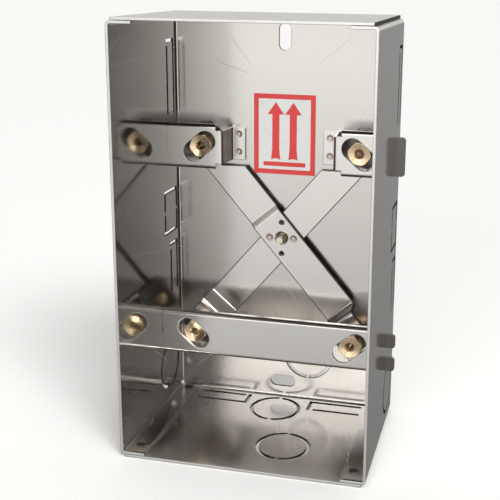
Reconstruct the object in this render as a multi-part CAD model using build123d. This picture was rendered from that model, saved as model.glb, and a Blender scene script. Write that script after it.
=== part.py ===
from build123d import *

import os
from math import atan2, degrees, hypot

# Flush mounting box in folded stainless sheet. A levelling cross turns on a stud in its back
# wall and carries four brass standoffs behind slanted slots, so that a front plate can be set
# upright after the box is walled in.
# The box opens towards -Y and stands on its bottom wall. The origin is the middle of its footprint.

# Box shell, one folded blank
box_width = 110.0
box_height = 192.0
box_depth = 77.0
shell_sheet = 1.2
shell_bend = 0.8
flange_width = 11.0
flange_back_relief = 3.2
seam_gap = 0.2

# Spot welds between the side flanges and the top and bottom walls
weld_diameter = 4.2
weld_from_side = 6.5
weld_from_front = 8.4
weld_from_back = 6.5

# Knock-outs: slits that leave bridges to be broken
slit_width = 1.6
bridge_width = 1.6
round_knockout_diameter = 23.2
bottom_rear_round_from_back = 16.5
bottom_front_round_from_back = 52.2
front_round_offset = 13.0
back_round_height = 24.4
side_round_from_back = 18.0
side_round_height = 19.6
strip_width = 8.0
strip_from_back = 9.4
bottom_strip_length = 26.8
bottom_strip_offset = 29.3
side_strip_upper_length = 36.0
side_strip_upper_height = 160.5
side_strip_lower_length = 26.0
side_strip_lower_height = 67.4
side_window_width = 15.0
side_window_length = 20.0
side_window_from_back = 12.3
side_window_height = 97.0

# Fixing slots in the back wall
fixing_slot_width = 5.8
fixing_slot_length = 12.6
upper_fixing_from_top = 11.0
lower_fixing_height = 9.2

# Pattern of the front plate's screws, and the stud that the cross turns on
pivot_height = 85.4
pattern_width = 76.0
pattern_height = 89.0

# Brackets and bar: shallow channels that hold the slanted slots
channel_sheet = 1.2
channel_bend = 0.5
channel_height = 21.2
channel_lip = 3.6
bracket_stand = 13.6
bar_stand = 25.8
bracket_leg_spacing = 52.6
bracket_leg_height = 15.6
bracket_leg_lean = 1.0
bracket_foot = 6.2
bracket_lip_relief = 2.0
slot_width = 9.9
slot_length = 17.6
end_clearance = 0.1
tab_clearance = 0.1
tab_corner = 1.4
tab_length = 4.2
bracket_tab_height = 17.8
bar_tab_height = 6.6
bar_tab_spacing = 11.2

# Cross arms
arm_sheet = 1.5
arm_bend = 0.8
arm_width = 16.2
arm_wall_gap = 1.5
arm_upper_overhang = 9.7
arm_lower_overhang = 7.5
joggle_start = 13.9
joggle_run = 2.3
riser_start = 47.0
riser_run = 1.0
arm_leg_clearance = 3.2
arm_foot_clearance = 2.8
arm_top_drop = 0.1
locating_hole_diameter = 2.7
locating_hole_spacing = 15.6
rear_pivot_hole = 6.0
front_pivot_hole = 6.6

# Pivot stud, welded to the back wall
pivot_diameter = 5.9
pivot_collar_diameter = 8.0
pivot_end_play = 0.1
pivot_recess = 1.3
stud_diameter = 4.0
stud_proud = 4.2
stud_chamfer = 0.4

# Brass hexagon standoffs
hex_across_flats = 10.0
hex_length = 9.0
hex_chamfer = 0.5
thread_drill_diameter = 3.3
thread_countersink_diameter = 4.6
rivet_diameter = 7.0
rivet_wall = 0.8
rivet_clearance = 0.03

# Transport label
label_width = 30.0
label_height = 38.4
label_centre_height = 135.2
label_film = 0.15

# Places worked out from the sizes above
half_width = box_width / 2
front_y = -box_depth / 2
back_y = box_depth / 2
wall_y = back_y - shell_sheet
wall_x = half_width - shell_sheet
shell_bend_outside = shell_bend + shell_sheet
flange_level = shell_sheet + seam_gap
bracket_height = pivot_height + pattern_height / 2
bar_height = pivot_height - pattern_height / 2
bracket_front_y = wall_y - bracket_stand
bar_front_y = wall_y - bar_stand
arm_reach = hypot(pattern_width / 2, pattern_height / 2)
arm_angle = degrees(atan2(pattern_height, pattern_width))


def front_plane(y):
    """Plane at depth y that faces the open front, with X across and Z up."""
    return Plane(origin=(0, y, 0), x_dir=(1, 0, 0), z_dir=(0, -1, 0))


def bent_sheet(path, thickness, inside_radius):
    """Section of a folded sheet. The path runs along one face and the sheet lies on its left."""
    points = [Vector(*point) for point in path]
    runs = [(b - a).normalized() for a, b in zip(points, points[1:])]
    normals = [Vector(-run.Y, run.X) for run in runs]
    offsets = [points[0] + normals[0] * thickness]
    face_radii = []
    offset_radii = []
    for i in range(1, len(points) - 1):
        mitre = (normals[i - 1] + normals[i]) * (thickness / (1 + normals[i - 1].dot(normals[i])))
        offsets.append(points[i] + mitre)
        turns_left = runs[i - 1].cross(runs[i]).Z > 0
        face_radii.append(inside_radius + (thickness if turns_left else 0))
        offset_radii.append(inside_radius + (0 if turns_left else thickness))
    offsets.append(points[-1] + normals[-1] * thickness)
    face_line = FilletPolyline(*points, radius=face_radii)
    offset_line = FilletPolyline(*offsets, radius=offset_radii)
    ends = [Line(points[0], offsets[0]), Line(points[-1], offsets[-1])]
    return make_face(face_line.edges() + offset_line.edges() + [line.edge() for line in ends])


def round_knockout(diameter):
    """Ring slit with a bridge on each side along Y."""
    ring = Circle((diameter + slit_width) / 2) - Circle((diameter - slit_width) / 2)
    return ring - Rectangle(bridge_width, 2 * diameter)


def strip_knockout(length, width):
    """Slit round three sides of a strip along X. The end at +X stays joined, with a bridge at -X."""
    outline = Rectangle(length + slit_width, width + slit_width)
    outline -= Rectangle(length - slit_width, width - slit_width)
    outline -= Pos(length / 2, 0) * Rectangle(2 * slit_width, width + 2 * slit_width)
    return outline - Pos(bridge_width - length / 2, -width / 2) * Rectangle(bridge_width, 2 * slit_width)


def window_knockout(length, width):
    """Slit round a rectangle along X, with a bridge in the middle of each long side."""
    outline = Rectangle(length + slit_width, width + slit_width)
    outline -= Rectangle(length - slit_width, width - slit_width)
    return outline - Rectangle(bridge_width, 2 * width)


def folded_shell():
    """Back wall with its four walls folded forward, and the side walls' flanges folded inward."""
    middle_half = half_width - shell_bend_outside
    upright_path = [(front_y, 0), (back_y, 0), (back_y, box_height), (front_y, box_height)]
    upright = Plane(origin=(-middle_half, 0, 0), x_dir=(0, 1, 0), z_dir=(1, 0, 0))
    shell = extrude(upright * bent_sheet(upright_path, shell_sheet, shell_bend), 2 * middle_half)

    girdle_path = [(-half_width, front_y), (-half_width, back_y), (half_width, back_y), (half_width, front_y)]
    girdle_path = girdle_path[::-1]
    girdle_low = flange_level + shell_bend_outside
    girdle_section = Plane.XY.offset(girdle_low) * bent_sheet(girdle_path, shell_sheet, shell_bend)
    shell += extrude(girdle_section, box_height - 2 * girdle_low)

    flange_top = box_height - flange_level
    flange_x = flange_width - half_width
    side_path = [
        (flange_x, flange_top),
        (-half_width, flange_top),
        (-half_width, flange_level),
        (flange_x, flange_level),
    ]
    side_section = front_plane(back_y - flange_back_relief) * bent_sheet(side_path, shell_sheet, shell_bend)
    left_side = extrude(side_section, box_depth - flange_back_relief)
    return shell + left_side + mirror(left_side, about=Plane.YZ)


def flange_welds():
    """Pads that join the flanges to the top and bottom walls."""
    weld_x = half_width - weld_from_side
    places = [
        (x, y)
        for x in (-weld_x, weld_x)
        for y in (front_y + weld_from_front, back_y - weld_from_back)
    ]
    nugget = Box(weld_diameter, weld_diameter, seam_gap)
    nugget_z = shell_sheet + seam_gap / 2
    return [Pos(x, y, z) * nugget for x, y in places for z in (nugget_z, box_height - nugget_z)]


def bottom_cuts():
    """Two rear strips and two round knock-outs in the bottom wall."""
    strip_y = back_y - strip_from_back
    left_strip = Pos(-bottom_strip_offset, strip_y) * Rot(0, 0, 180) * strip_knockout(bottom_strip_length, strip_width)
    right_strip = Pos(bottom_strip_offset, strip_y) * strip_knockout(bottom_strip_length, strip_width)
    rear_round = Pos(0, back_y - bottom_rear_round_from_back) * round_knockout(round_knockout_diameter)
    front_y_place = back_y - bottom_front_round_from_back
    front_round = Pos(front_round_offset, front_y_place) * round_knockout(round_knockout_diameter)
    level = Plane.XY.offset(-shell_sheet / 2)
    return [extrude(level * cut, 2 * shell_sheet) for cut in (left_strip, right_strip, rear_round, front_round)]


def back_cuts():
    """Fixing slots and one round knock-out in the back wall."""
    upper = Pos(0, box_height - upper_fixing_from_top) * SlotOverall(fixing_slot_length, fixing_slot_width, 90)
    lower = Pos(0, lower_fixing_height) * SlotOverall(fixing_slot_length, fixing_slot_width)
    knockout = Pos(front_round_offset, back_round_height) * round_knockout(round_knockout_diameter)
    plane = front_plane(back_y + shell_sheet / 2)
    return [extrude(plane * cut, 2 * shell_sheet) for cut in (upper, lower, knockout)]


def side_cuts():
    """Knock-outs and tab slots of the left wall, drawn with Y across and Z up."""
    strip_y = back_y - strip_from_back
    upper_strip = strip_knockout(side_strip_upper_length, strip_width)
    lower_strip = strip_knockout(side_strip_lower_length, strip_width)
    window = window_knockout(side_window_length, side_window_width)
    tab_slot_width = channel_sheet + 2 * tab_clearance
    bracket_slot = Rectangle(tab_slot_width, bracket_tab_height + 2 * tab_clearance)
    bar_slot = Rectangle(tab_slot_width, bar_tab_height + 2 * tab_clearance)
    bar_slot_y = bar_front_y + channel_sheet / 2
    cuts = [
        Pos(strip_y, side_strip_upper_height) * Rot(0, 0, -90) * upper_strip,
        Pos(strip_y, side_strip_lower_height) * Rot(0, 0, -90) * lower_strip,
        Pos(back_y - side_window_from_back, side_window_height) * Rot(0, 0, 90) * window,
        Pos(back_y - side_round_from_back, side_round_height) * round_knockout(round_knockout_diameter),
        Pos(bracket_front_y + channel_sheet / 2, bracket_height) * bracket_slot,
        Pos(bar_slot_y, bar_height + bar_tab_spacing / 2) * bar_slot,
        Pos(bar_slot_y, bar_height - bar_tab_spacing / 2) * bar_slot,
    ]
    plane = Plane(origin=(-half_width - shell_sheet / 2, 0, 0), x_dir=(0, 1, 0), z_dir=(1, 0, 0))
    return [extrude(plane * cut, 2 * shell_sheet) for cut in cuts]


def box_shell():
    """Folded shell with its welds, knock-outs and slots."""
    left_cuts = side_cuts()
    right_cuts = [mirror(cut, about=Plane.YZ) for cut in left_cuts]
    shell = folded_shell() + flange_welds()
    return shell - (bottom_cuts() + back_cuts() + left_cuts + right_cuts)


def channel_run(front, height, x_from, x_to):
    """Stretch of channel along X: a plate at the front with a lip folded back above and below it."""
    low = height - channel_height / 2
    high = height + channel_height / 2
    path = [(front + channel_lip, high), (front, high), (front, low), (front + channel_lip, low)]
    section = Plane(origin=(x_from, 0, 0), x_dir=(0, 1, 0), z_dir=(1, 0, 0))
    return extrude(section * bent_sheet(path, channel_sheet, channel_bend), x_to - x_from)


def end_tab(front, height, tab_height):
    """Tab at the left end that passes through the side wall and stands proud of it."""
    inner_x = channel_bend - wall_x
    outer_x = -half_width - tab_length
    tab = Rectangle(inner_x - outer_x, tab_height)
    tab = fillet(tab.vertices().group_by(Axis.X)[0], tab_corner)
    plane = front_plane(front + channel_sheet)
    return extrude(plane * Pos((inner_x + outer_x) / 2, height) * tab, channel_sheet)


def slanted_slot(x, front, height, tilt):
    """Cutter for one slot whose length lies square to the arm behind it."""
    plane = front_plane(front + 2 * channel_sheet)
    return extrude(plane * Pos(x, height) * SlotOverall(slot_length, slot_width, tilt), 3 * channel_sheet)


def upper_left_bracket():
    """Channel from the side wall to a leg with a welded foot on the back wall."""
    leg_x = -bracket_leg_spacing / 2
    lip_end = leg_x - channel_sheet - channel_bend - bracket_lip_relief
    bracket = channel_run(bracket_front_y, bracket_height, end_clearance - wall_x, lip_end)
    plan_path = [
        (lip_end - bracket_lip_relief, bracket_front_y),
        (leg_x, bracket_front_y),
        (leg_x + bracket_leg_lean, wall_y - channel_sheet),
        (leg_x + bracket_leg_lean + bracket_foot, wall_y - channel_sheet),
    ]
    plan = Plane.XY.offset(bracket_height - bracket_leg_height / 2)
    bracket += extrude(plan * bent_sheet(plan_path, channel_sheet, channel_bend), bracket_leg_height)
    bracket += end_tab(bracket_front_y, bracket_height, bracket_tab_height)
    return bracket - slanted_slot(-pattern_width / 2, bracket_front_y, bracket_height, 90 - arm_angle)


def lower_bar():
    """Channel across the box, held by two tabs at each end."""
    length_end = wall_x - end_clearance
    bar = channel_run(bar_front_y, bar_height, -length_end, length_end)
    for offset in (-bar_tab_spacing / 2, bar_tab_spacing / 2):
        tab = end_tab(bar_front_y, bar_height + offset, bar_tab_height)
        bar += tab
        bar += mirror(tab, about=Plane.YZ)
    left_slot = slanted_slot(-pattern_width / 2, bar_front_y, bar_height, arm_angle - 90)
    return bar - left_slot - mirror(left_slot, about=Plane.YZ)


def arm_holes(pivot_hole):
    """Cutters for the pivot hole, the two locating holes and the standoffs' rivet holes of one arm."""
    length = 2 * box_depth
    pivot = Cylinder(pivot_hole / 2, length)
    locating = Cylinder(locating_hole_diameter / 2, length)
    rivet = Cylinder(rivet_diameter / 2 + rivet_clearance, length)
    turn = Pos(0, 0, pivot_height) * Rot(90, 0, 0)
    half_spacing = locating_hole_spacing / 2
    half_x = pattern_width / 2
    half_z = pattern_height / 2
    holes = [turn * pivot]
    holes += [turn * Pos(0, z) * locating for z in (-half_spacing, half_spacing)]
    return holes + [turn * Pos(s * half_x, -s * half_z) * rivet for s in (-1, 1)]


def stepped_arm(back_path, pivot_hole):
    """Arm from the upper left to the lower right, folded along the path of its back face."""
    arm_plane = Plane(
        origin=(0, wall_y, pivot_height),
        x_dir=(pattern_width, 0, -pattern_height),
        z_dir=(-pattern_height, 0, -pattern_width),
    )
    section = arm_plane.offset(-arm_width / 2) * bent_sheet(back_path, arm_sheet, arm_bend)
    arm = extrude(section, arm_width)

    top = bracket_height + channel_height / 2 - arm_top_drop
    above_top = Pos(0, 0, top) * Box(box_width, box_depth, box_height, align=(Align.CENTER, Align.CENTER, Align.MIN))
    beside_leg_x = -bracket_leg_spacing / 2 - channel_sheet - arm_leg_clearance
    below_foot = bracket_height - bracket_leg_height / 2 - arm_foot_clearance
    beside_leg = Box(half_width, box_depth, box_height, align=(Align.MIN, Align.CENTER, Align.MIN))
    return arm - above_top - Pos(beside_leg_x, 0, below_foot) * beside_leg - arm_holes(pivot_hole)


def arm_path(step, riser_level):
    """Run of an arm's back face: places along the arm with their height off the back wall."""
    foot_level = arm_wall_gap + bar_stand - bracket_stand
    upper_end = arm_reach + arm_upper_overhang
    lower_end = arm_reach + arm_lower_overhang
    riser = [(riser_start, riser_level), (riser_start + riser_run, foot_level), (lower_end, foot_level)]
    return [(-upper_end, arm_wall_gap)] + step + riser


def cross_arm_rear():
    """Arm that lies flat along the back wall, from the upper right to the lower left."""
    return mirror(stepped_arm(arm_path([], arm_wall_gap), rear_pivot_hole), about=Plane.YZ)


def cross_arm_front():
    """Arm that steps up onto the rear one before the pivot, is spot-welded to it and stays at that level."""
    raised = arm_wall_gap + arm_sheet
    step_up = [(-joggle_start, arm_wall_gap), (joggle_run - joggle_start, raised)]
    return stepped_arm(arm_path(step_up, raised), front_pivot_hole)


def pivot_stud():
    """Stud with a collar that keeps the cross off the wall, a shoulder it turns on and a thin end."""
    pad_front = arm_wall_gap + 2 * arm_sheet
    shoulder_end = pad_front - pivot_recess
    stud_end = pad_front + stud_proud
    collar_end = arm_wall_gap - pivot_end_play
    half = [
        (0, 0),
        (pivot_collar_diameter / 2, 0),
        (pivot_collar_diameter / 2, collar_end),
        (pivot_diameter / 2, collar_end),
        (pivot_diameter / 2, shoulder_end),
        (stud_diameter / 2, shoulder_end),
        (stud_diameter / 2, stud_end - stud_chamfer),
        (stud_diameter / 2 - stud_chamfer, stud_end),
        (0, stud_end),
    ]
    profile = make_face(Polyline(*half, close=True))
    return Pos(0, wall_y, pivot_height) * Rot(90, 0, 0) * revolve(Plane.XZ * profile, Axis.Z)


def hex_standoff(flat_angle):
    """Standoff along +Z from its seat at z = 0: a hexagon with a tapped hole and a rivet collar below."""
    hexagon = RegularPolygon(hex_across_flats / 2, 6, major_radius=False)
    corner_radius = hexagon.radius
    prism = extrude(Rot(0, 0, flat_angle) * hexagon, hex_length)
    blank = Pos(0, 0, hex_length / 2) * Cylinder(corner_radius, hex_length)
    blank = chamfer(blank.edges().filter_by(GeomType.CIRCLE).sort_by(Axis.Z)[-1], hex_chamfer)
    collar = Pos(0, 0, -arm_sheet / 2) * Cylinder(rivet_diameter / 2, arm_sheet)
    collar -= Pos(0, 0, -arm_sheet / 2) * Cylinder(rivet_diameter / 2 - rivet_wall, arm_sheet)
    drill = Cylinder(thread_drill_diameter / 2, 4 * hex_length)
    sink_depth = (thread_countersink_diameter - thread_drill_diameter) / 2
    sink = Pos(0, 0, hex_length - sink_depth / 2) * Cone(
        thread_drill_diameter / 2, thread_countersink_diameter / 2, sink_depth
    )
    return (prism & blank) + collar - drill - sink


def standoffs():
    """The four standoffs on the arms' ends, with two flats of each square to its slot."""
    half_x = pattern_width / 2
    half_z = pattern_height / 2
    upper_seat = wall_y - arm_wall_gap - arm_sheet
    lower_seat = upper_seat - (bar_stand - bracket_stand)
    corners = {
        "upper_left_standoff": (-half_x, upper_seat, half_z, 90 - arm_angle),
        "upper_right_standoff": (half_x, upper_seat, half_z, arm_angle - 90),
        "lower_left_standoff": (-half_x, lower_seat, -half_z, arm_angle - 90),
        "lower_right_standoff": (half_x, lower_seat, -half_z, 90 - arm_angle),
    }
    return {
        name: Pos(x, seat, pivot_height + z) * Rot(90, 0, 0) * hex_standoff(angle + 30)
        for name, (x, seat, z, angle) in corners.items()
    }


def orientation_label():
    """Film label on the back wall, under the upper fixing slot."""
    film = Rectangle(label_width, label_height)
    return extrude(front_plane(wall_y) * Pos(0, label_centre_height) * film, label_film)


left_bracket = upper_left_bracket()
nodes = {
    "box_shell": box_shell(),
    "upper_left_bracket": left_bracket,
    "upper_right_bracket": mirror(left_bracket, about=Plane.YZ),
    "lower_bar": lower_bar(),
    "pivot_stud": pivot_stud(),
    "cross_arm_rear": cross_arm_rear(),
    "cross_arm_front": cross_arm_front(),
    "orientation_label": orientation_label(),
}
nodes.update(standoffs())

os.makedirs("parts", exist_ok=True)
for name, solid in nodes.items():
    export_step(solid, f"parts/{name}.step")
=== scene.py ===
import math

import bmesh
import bpy
from mathutils import Matrix, Vector


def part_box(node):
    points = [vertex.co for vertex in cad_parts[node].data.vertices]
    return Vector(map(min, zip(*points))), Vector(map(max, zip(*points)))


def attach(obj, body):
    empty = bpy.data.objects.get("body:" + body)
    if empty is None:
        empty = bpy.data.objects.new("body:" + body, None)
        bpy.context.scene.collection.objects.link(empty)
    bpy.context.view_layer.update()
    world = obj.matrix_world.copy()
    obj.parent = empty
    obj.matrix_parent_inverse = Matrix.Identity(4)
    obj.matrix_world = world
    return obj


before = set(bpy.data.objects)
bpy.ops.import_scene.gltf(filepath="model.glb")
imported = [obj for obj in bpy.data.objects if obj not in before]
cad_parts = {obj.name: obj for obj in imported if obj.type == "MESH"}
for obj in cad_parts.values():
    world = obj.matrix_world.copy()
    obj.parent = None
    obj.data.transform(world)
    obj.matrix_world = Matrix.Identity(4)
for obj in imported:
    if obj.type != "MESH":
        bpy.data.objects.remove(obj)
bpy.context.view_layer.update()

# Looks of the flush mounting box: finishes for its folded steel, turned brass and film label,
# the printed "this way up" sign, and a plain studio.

MM = 0.001
DEGREE = math.pi / 180

bl_info = {
    "name": "Flush mounting box",
    "version": (1, 0, 0),
    "blender": (4, 5, 0),
    "location": "View3D > Sidebar > Mounting Box",
    "description": "Finishes and studio for a folded steel mounting box with a levelling cross",
    "category": "Object",
}

BRACKET_NODES = ["upper_left_bracket", "upper_right_bracket", "lower_bar"]
STANDOFF_NODES = [
    "upper_left_standoff",
    "upper_right_standoff",
    "lower_left_standoff",
    "lower_right_standoff",
]


def linear(code):
    """Turns an sRGB hex colour into the linear values that shaders take."""
    parts = [int(code[i:i + 2], 16) / 255 for i in (1, 3, 5)]
    return tuple(p / 12.92 if p <= 0.04045 else ((p + 0.055) / 1.055) ** 2.4 for p in parts)


def rgba(colour):
    """Adds full opacity to a colour."""
    return (*colour, 1.0)


def add(tree, kind, inputs=None, stops=None, **settings):
    """Adds a node with its settings, then fills or links its inputs, and returns it.

    A node given as an input is linked by its first output that is in use.
    Stops are the (place, grey level) pairs of a colour ramp.
    """
    node = tree.nodes.new(kind)
    for name, value in settings.items():
        setattr(node, name, value)
    for socket, value in (inputs or {}).items():
        if isinstance(value, bpy.types.Node):
            value = next(output for output in value.outputs if output.enabled)
        if isinstance(value, bpy.types.NodeSocket):
            tree.links.new(value, node.inputs[socket])
        else:
            node.inputs[socket].default_value = value
    if stops:
        points = node.color_ramp.elements
        points[0].position, points[1].position = stops[0][0], stops[-1][0]
        for place, _ in stops[1:-1]:
            points.new(place)
        for point, (_, level) in zip(points, stops):
            point.color = (level, level, level, 1)
    return node


def middle(node):
    """Middle of a CAD node's box."""
    low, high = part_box(node)
    return (low + high) / 2


PIVOT = middle("pivot_stud")
STANDOFF = middle("upper_right_standoff")
LABEL_LOW, LABEL_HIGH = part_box("orientation_label")
LABEL_CENTRE = middle("orientation_label")
SHELL_LOW, SHELL_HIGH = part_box("box_shell")
# Direction of the arm that rises to the right.
RISING = Vector((STANDOFF.x, 0, STANDOFF.z - PIVOT.z)).normalized()
# Half the straight run and half the width of the slots, and half the width of an arm.
SLOT_HALF = 3.85 * MM
SLOT_RADIUS = 4.95 * MM
ARM_HALF = 8.1 * MM

# Share of a normal along an axis from which a face leans that way, looks that way, or is a riser,
# and the most that a sheared side of an arm, or the outside of a bend, has.
LEANING = 0.3
LOOKING = 0.5
RISER_SHARE = 0.75
SIDE_SHARE = 0.35
BEND_SHARE = -0.1
# Depth that holds the shell's sheet, depth of the open front's rim, and where the faces behind it begin.
SHEET_DEPTH = 1.25 * MM
RIM_DEPTH = 0.05 * MM
BEHIND_RIM = 0.3 * MM
# Patches of the back wall that hands have rubbed matt: their low and high end above the standoffs,
# and how far from the middle they begin and are full.
RUBBED_PATCH = (7 * MM, 14 * MM, 26 * MM, 36 * MM)
WORN_PATCH = (8 * MM, 19 * MM, 34 * MM, 39 * MM)
PATCH_SOFTNESS = 2 * MM
# How far from the middle the brackets' legs reach, and the widths of tones round slots and along edges.
LEG_REACH = 30 * MM
SLOT_RIM = 0.35 * MM
SLOT_SHADE = 1.0 * MM
ROLLED_EDGE = 0.4 * MM

# Heat tint and height across a spot weld, as (distance in weld diameters, level).
RING_TINT = [(0.0, 0.3), (0.22, 0.45), (0.4, 1.0), (0.52, 0.6), (0.7, 0.0)]
BLOT_TINT = [(0.0, 0.75), (0.2, 0.9), (0.42, 0.95), (0.55, 0.5), (0.75, 0.0)]
WELD_DENT = [(0.0, 0.2), (0.3, 0.0), (0.45, 0.6), (0.55, 1.0), (0.8, 1.0)]
# Handling scratches: the direction across them with the spacing of their rows, the half width of
# their core and of their edge, in millimetres, the length of their stretches, and the noise values
# from which a stretch begins and is full. They are rougher than the sheet, and cut into it.
SCRATCH_ROWS = (((0.78, 0.2, 0.6), 11), ((0.6, -0.3, -0.74), 13), ((0.25, 0.55, 0.8), 17))
SCRATCH_CORE = 0.05
SCRATCH_EDGE = 0.25
SCRATCH_STRETCH = 24 * MM
SCRATCH_START = 0.57
SCRATCH_FULL = 0.66
SCRATCH_ROUGHNESS = 0.14
SCRATCH_HEIGHT = -1.2
# Range that most values of a noise texture lie in.
NOISE_LOW = 0.3
NOISE_HIGH = 0.7

# Patches of the room, each with its limits and softness across, to the right of straight ahead,
# and upright, above the horizon, all in degrees. Then their light, where it is the same all over.
SCREEN_LOW = ((-32, 19.5, 1), (-40, 6, 3))
SCREEN_HIGH = ((-32, 10, 3), (0, 26.8, 1.2))
SOFT_BOX = ((-17, 8, 3), (8, 26.5, 1.2))
DARK_GAP = ((20.6, 38, 0.8), (-40, 34, 3))
SIDE_BOX = ((41, 80, 2), (5, 50, 3))
SOFT_BOX_LIGHT = 2.85
DARK_GAP_LIGHT = 0.12
SIDE_BOX_LIGHT = 1.5
HIGH_WALL_LIGHT = 0.7
ROOM_WHITE = (1.0, 0.99, 0.975, 1)

FLOOR_SIZE = 30
LIGHT_TARGET = (0, 0, 0.1)
KEY_PLACE = (0.9, -1.0, 1.5)
KEY_SPREAD = math.radians(24)
FILL_PLACE = (-0.1, -0.9, 0.3)
FILL_SIZE = 0.6
SENSOR_WIDTH = 36
NEAREST_SEEN = 0.01


class FinishSettings(bpy.types.PropertyGroup):
    """Colours of the metals, the film and the ink."""

    shell: bpy.props.FloatVectorProperty(
        name="Shell steel", description="Colour of the shell's rolled stainless sheet",
        subtype="COLOR", default=linear("#DAD7D3"), min=0, max=1)
    bracket: bpy.props.FloatVectorProperty(
        name="Bracket steel", description="Colour of the sheet of the brackets and the bar",
        subtype="COLOR", default=linear("#E6E4E0"), min=0, max=1)
    arm: bpy.props.FloatVectorProperty(
        name="Arm steel", description="Colour of the cross arms' sheet",
        subtype="COLOR", default=linear("#E6E3DF"), min=0, max=1)
    weld: bpy.props.FloatVectorProperty(
        name="Weld tint", description="Heat tint round the small spot welds of the arms and feet",
        subtype="COLOR", default=linear("#9C8474"), min=0, max=1)
    burn: bpy.props.FloatVectorProperty(
        name="Weld burn", description="Dark burn of the large spot welds on the shell's flanges",
        subtype="COLOR", default=linear("#3E342C"), min=0, max=1)
    # Sheared faces: steel duller than the sheet, made near black with painted shade.
    sheared_with_shade: bpy.props.FloatVectorProperty(
        name="Sheared faces", description="Dull torn faces inside the slits and along the arms",
        subtype="COLOR", default=linear("#3C3A38"), min=0, max=1)
    # Painted highlight on the open front's cut edge and the slots' rims, and painted light on the brackets'
    # faces that look towards the back wall.
    painted_light: bpy.props.FloatVectorProperty(
        name="Cut rims", description="Bright cut edges of the open front and the slots",
        subtype="COLOR", default=linear("#F4F3F1"), min=0, max=1)
    # Painted shade, dark, on the brackets' bends and on the arms' risers, rolled edges and the steel round
    # each rivet.
    painted_dark_shade: bpy.props.FloatVectorProperty(
        name="Dulled steel", description="Bent risers, rolled edges and the steel round each rivet",
        subtype="COLOR", default=linear("#6F6B67"), min=0, max=1)
    # Painted shade, a grey darker than the sheet, on the inside of the side walls and on the brackets' legs.
    painted_shade: bpy.props.FloatVectorProperty(
        name="Oiled steel", description="Inside of the side walls and the brackets' legs, grey under oil",
        subtype="COLOR", default=linear("#B6B3AF"), min=0, max=1)
    # Painted shade on the brackets' ends outside the walls.
    tab_painted_shade: bpy.props.FloatVectorProperty(
        name="Tabs", description="Dull ends of the brackets outside the walls",
        subtype="COLOR", default=linear("#77746F"), min=0, max=1)
    brass: bpy.props.FloatVectorProperty(
        name="Brass", description="Colour of the turned brass standoffs",
        subtype="COLOR", default=linear("#F8DEB8"), min=0, max=1)
    stud: bpy.props.FloatVectorProperty(
        name="Stud", description="Colour of the turned pivot stud",
        subtype="COLOR", default=linear("#EFE7D2"), min=0, max=1)
    # Painted shade on the stud's shoulder, for the dark gap round it in the arms' hole.
    shoulder: bpy.props.FloatVectorProperty(
        name="Stud shoulder", description="Oily shoulder that the cross turns on",
        subtype="COLOR", default=linear("#5A534A"), min=0, max=1)
    film: bpy.props.FloatVectorProperty(
        name="Film", description="Ground of the label",
        subtype="COLOR", default=linear("#E9EAE8"), min=0, max=1)
    ink: bpy.props.FloatVectorProperty(
        name="Ink", description="Red of the printed sign",
        subtype="COLOR", default=linear("#E5403F"), min=0, max=1)


class SignSettings(bpy.types.PropertyGroup):
    """Sizes of the printed sign."""

    frame_width: bpy.props.FloatProperty(
        name="Frame", description="Width of the red frame",
        default=2.35 * MM, unit="LENGTH")
    ink_depth: bpy.props.FloatProperty(
        name="Ink depth", description="Height of the ink above the film",
        default=0.03 * MM, unit="LENGTH")
    arrow_spacing: bpy.props.FloatProperty(
        name="Arrow spacing", description="Distance between the arrows",
        default=8.5 * MM, unit="LENGTH")
    arrow_top: bpy.props.FloatProperty(
        name="Arrow top", description="Height of the tips above the label's middle",
        default=15.4 * MM, unit="LENGTH")
    head_height: bpy.props.FloatProperty(
        name="Head height", description="Height of an arrow's head",
        default=5.9 * MM, unit="LENGTH")
    head_width: bpy.props.FloatProperty(
        name="Head width", description="Width of an arrow's head",
        default=8.1 * MM, unit="LENGTH")
    shaft_width: bpy.props.FloatProperty(
        name="Shaft width", description="Width of a shaft under the head",
        default=3.5 * MM, unit="LENGTH")
    shaft_height: bpy.props.FloatProperty(
        name="Shaft height", description="Length of a shaft",
        default=21.8 * MM, unit="LENGTH")
    shaft_flare: bpy.props.FloatProperty(
        name="Shaft flare", description="Width at a shaft's foot over its width at the head",
        default=1.3)
    bar_width: bpy.props.FloatProperty(
        name="Bar width", description="Length of the bar under the arrows",
        default=20.6 * MM, unit="LENGTH")
    bar_height: bpy.props.FloatProperty(
        name="Bar height", description="Thickness of the bar",
        default=2.1 * MM, unit="LENGTH")
    bar_drop: bpy.props.FloatProperty(
        name="Bar drop", description="Distance of the bar below the label's middle",
        default=14.3 * MM, unit="LENGTH")


class StageSettings(bpy.types.PropertyGroup):
    """Camera and light of the studio."""

    lens: bpy.props.FloatProperty(
        name="Lens", description="Focal length for a 36 mm sensor, in millimetres",
        default=67.34, unit="CAMERA")
    camera_place: bpy.props.FloatVectorProperty(
        name="Camera", description="Where the camera stands", subtype="TRANSLATION",
        default=(0.10675, -0.38825, 0.20910))
    camera_turn: bpy.props.FloatVectorProperty(
        name="Aim", description="Tilt from the horizon, roll and turn from straight ahead",
        subtype="EULER", default=(-0.24180, 0.01126, 0.22905))
    camera_shift: bpy.props.FloatVectorProperty(
        name="Shift", description="Shift of the frame, in frame widths",
        size=2, default=(-0.0985, -0.09))
    floor: bpy.props.FloatVectorProperty(
        name="Floor", description="Colour of the pale floor",
        subtype="COLOR", default=linear("#F6F6F5"), min=0, max=1)
    key_power: bpy.props.FloatProperty(
        name="Key light", description="Strength of the soft light from the upper right", default=1.6)
    fill_power: bpy.props.FloatProperty(
        name="Fill light", description="Power of the soft light in front", default=3.4, unit="POWER")


def new_material(name):
    """Starts an empty node material and returns it with its tree."""
    material = bpy.data.materials.new(name)
    material.use_nodes = True
    material.node_tree.nodes.clear()
    return material, material.node_tree


def dress(material, *nodes):
    """Gives CAD nodes a material."""
    for node in nodes:
        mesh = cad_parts[node].data
        mesh.materials.clear()
        mesh.materials.append(material)


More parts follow.
